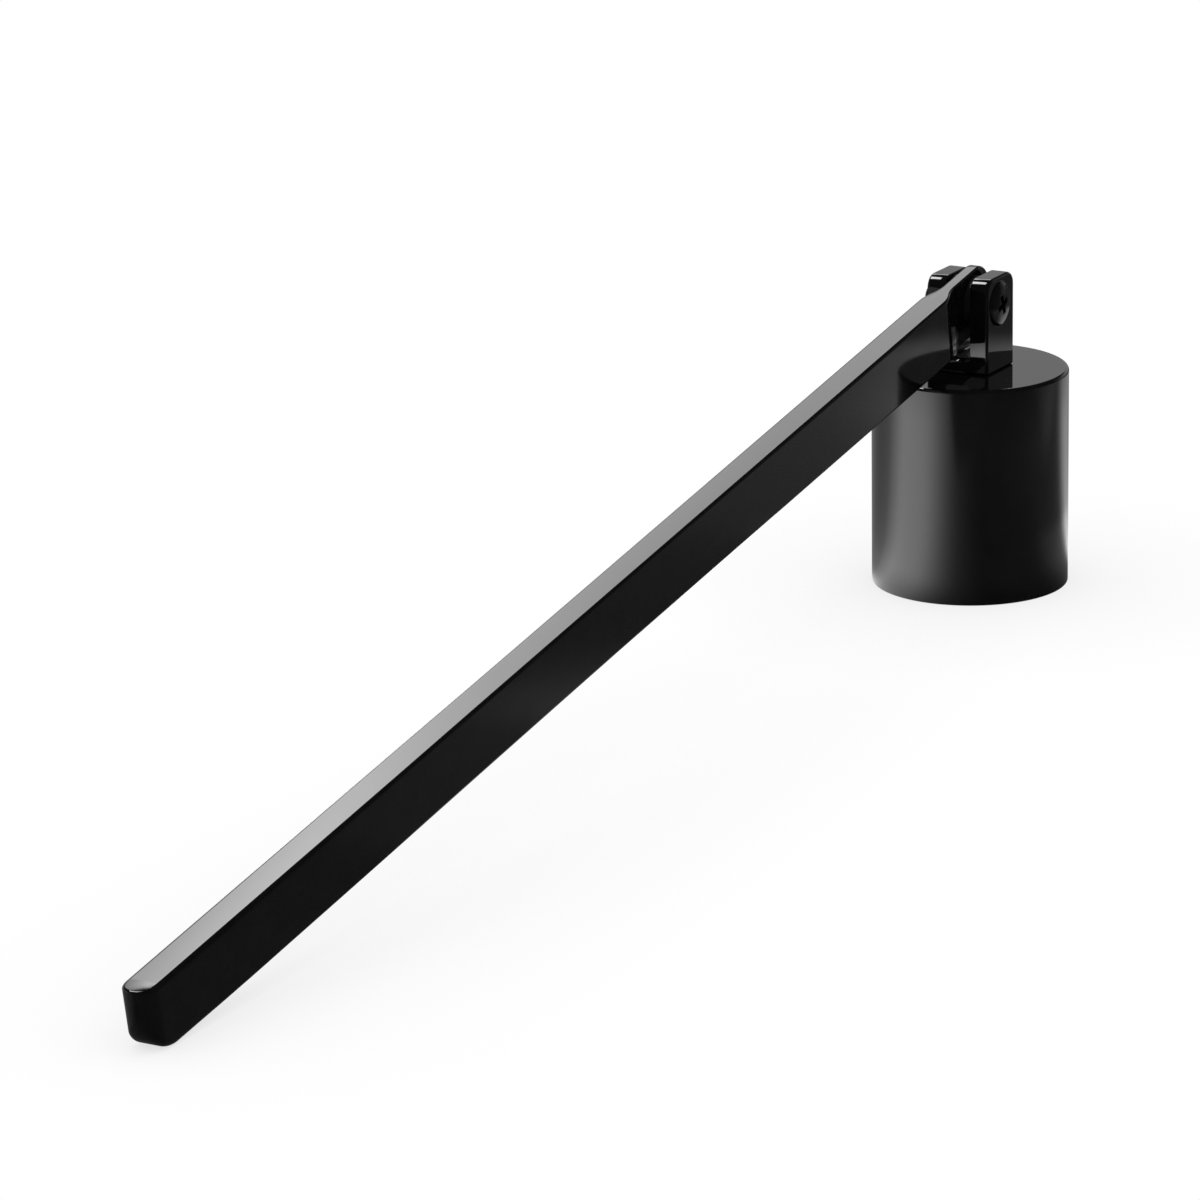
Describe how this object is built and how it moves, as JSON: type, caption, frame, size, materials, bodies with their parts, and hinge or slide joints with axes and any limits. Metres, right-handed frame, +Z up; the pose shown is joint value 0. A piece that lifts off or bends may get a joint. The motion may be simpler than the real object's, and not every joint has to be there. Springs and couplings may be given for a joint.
{
  "type": "candle snuffer",
  "caption": "Candle snuffer with a plain cylindrical bell hinged in a forked bracket to a long flat handle with a rounded nose.",
  "frame": {"origin": "centre of the bell's mouth, on the table that its rim stands on", "axes": "+Z up along the bell, -X along the handle towards its nose, Y along the hinge with the screw's head at -Y"},
  "size_m": [0.1811, 0.022, 0.0359],
  "materials": {
    "black_lacquer": "gloss black lacquer",
    "black_steel": "black oxide, semi-gloss",
    "plain_steel": "bright zinc",
    "black_nylon": "moulded, matte"
  },
  "bodies": {
    "bell_unit": {"bell": "black_lacquer", "hinge_bracket": "black_lacquer", "bell_fixing_screw": "black_steel", "bell_washer": "plain_steel", "pivot_screw": "black_steel", "spacer_washer_near": "black_nylon", "spacer_washer_far": "black_nylon"},
    "handle_arm": {"handle": "black_lacquer"}
  },
  "joints": [
    {"name": "handle_swing", "type": "hinge", "parent": "bell_unit", "child": "handle_arm", "pos_m": [-0.0003, 0, 0.0322], "axis": [0, 1, 0], "range_deg": [-8, 207]}
  ]
}
